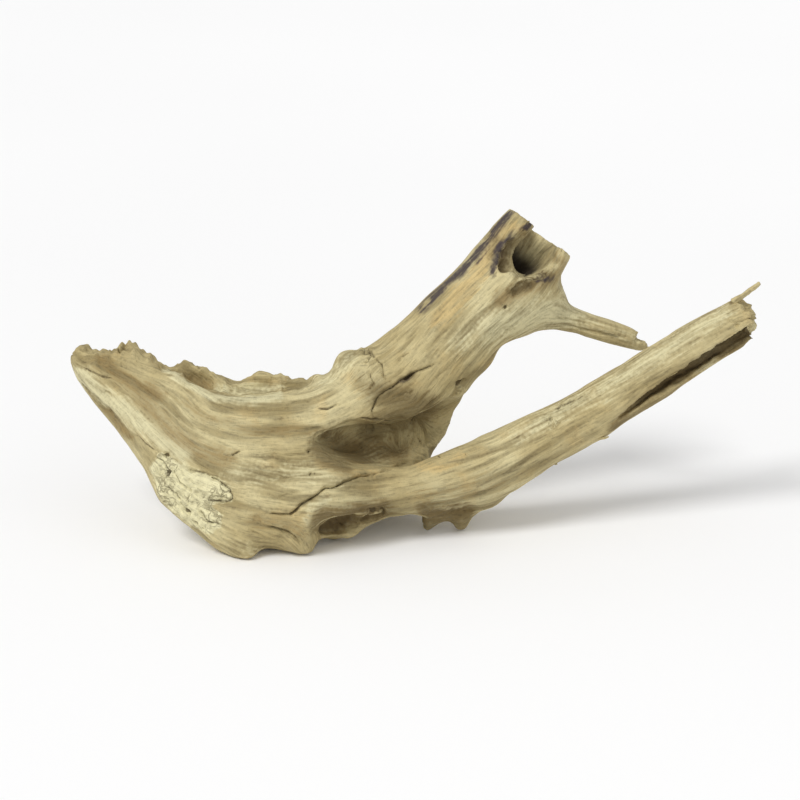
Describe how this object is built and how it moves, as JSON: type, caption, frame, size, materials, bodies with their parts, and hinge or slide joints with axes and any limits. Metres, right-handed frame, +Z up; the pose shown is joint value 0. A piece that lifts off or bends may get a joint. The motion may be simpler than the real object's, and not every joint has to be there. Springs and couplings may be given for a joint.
{
  "type": "piece of driftwood",
  "caption": "Weathered grey-tan driftwood: a broad leaning root flare that splits into a thick hollow sawn limb with a side twig and a long straight limb.",
  "frame": {"origin": "middle of the piece's footprint, on the surface that it rests on", "axes": "+X along the piece, from the flare's tip to the long limb's broken end; +Y to the back; +Z up"},
  "size_m": [0.483, 0.147, 0.2207],
  "materials": {
    "driftwood": "bare, dry and weathered"
  },
  "bodies": {
    "root": {"driftwood": "driftwood"}
  },
  "joints": []
}
